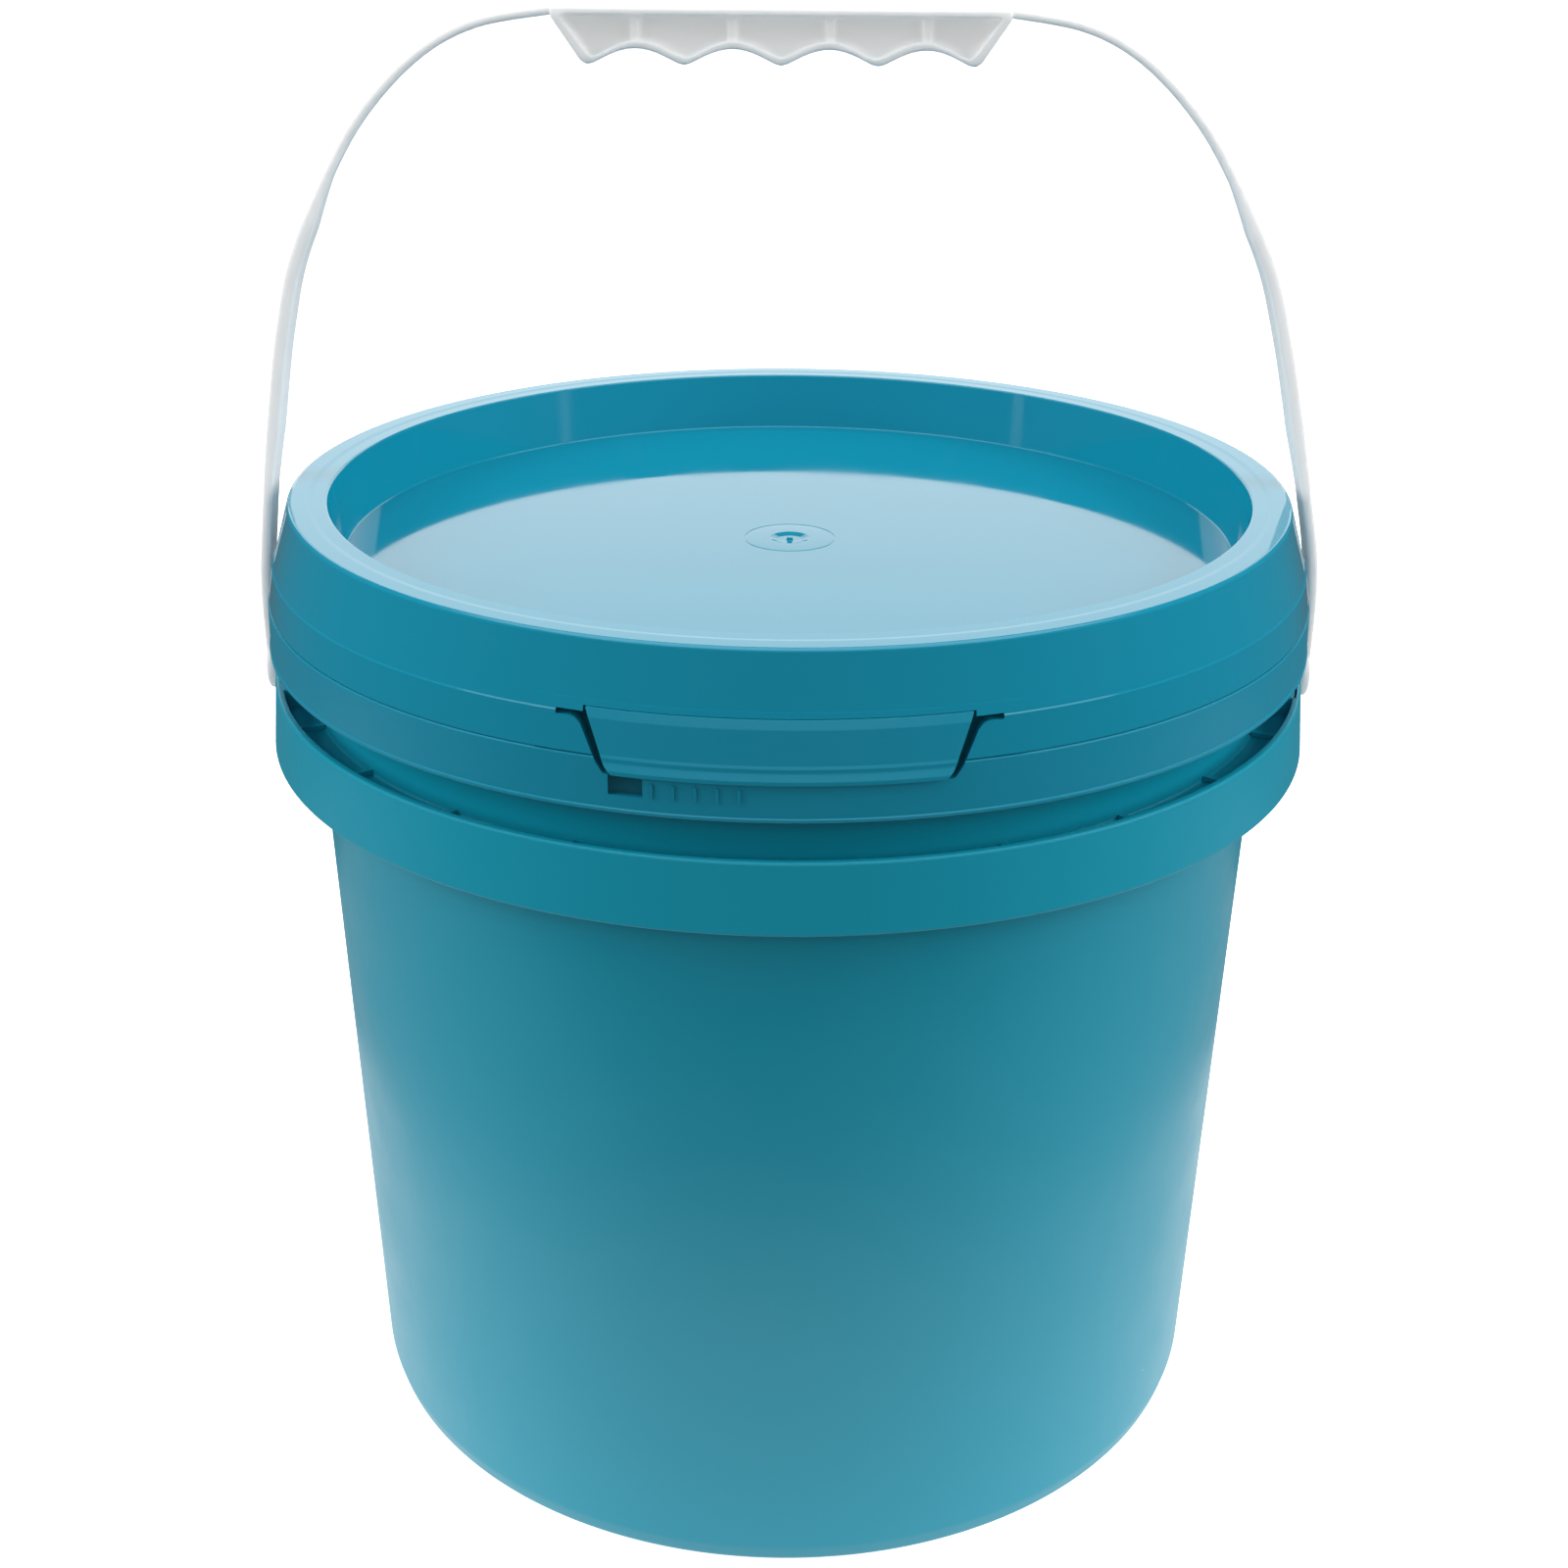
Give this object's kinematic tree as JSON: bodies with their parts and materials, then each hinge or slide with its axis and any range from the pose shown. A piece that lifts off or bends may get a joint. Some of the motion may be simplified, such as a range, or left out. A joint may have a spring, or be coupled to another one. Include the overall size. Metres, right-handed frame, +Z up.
{
  "type": "lidded wash bucket",
  "caption": "Round plastic wash bucket with a press-fit lid, a tear band with pull tab, and a swinging bail handle with a finger grip.",
  "frame": {"origin": "centre of the base, on the plane that the foot ring stands on", "axes": "+Z up along the tub's axis, -Y towards the pull tab at the front, +X along the bail's pivot axis"},
  "size_m": [0.2822, 0.2754, 0.376],
  "materials": {
    "tub_plastic": "satin polypropylene, teal",
    "lid_plastic": "glossy polypropylene, teal",
    "handle_plastic": "satin natural white polypropylene",
    "gasket_foam": "matt elastomer"
  },
  "bodies": {
    "pail": {"tub": "tub_plastic"},
    "cover": {"lid": "lid_plastic", "lid_gasket": "gasket_foam", "tear_band": "lid_plastic"},
    "tab": {"pull_tab": "lid_plastic"},
    "bail": {"bail_handle": "handle_plastic"}
  },
  "joints": [
    {"name": "lid_lift", "type": "slide", "parent": "pail", "child": "cover", "axis": [0, 0, 1], "range_m": [0, 0.045]},
    {"name": "bail_swing", "type": "hinge", "parent": "pail", "child": "bail", "pos_m": [0, 0, 0.205], "axis": [-1, 0, 0], "range_deg": [0, 120]},
    {"name": "tab_pull", "type": "hinge", "parent": "cover", "child": "tab", "pos_m": [0, -0.1345, 0.2423], "axis": [-1, 0, 0], "range_deg": [0, 30], "stiffness_Nm_per_rad": 0.2}
  ],
  "couplings": [
    {"joint": "bail_swing", "follows": "lid_lift", "rad_per_m": 46.5}
  ]
}
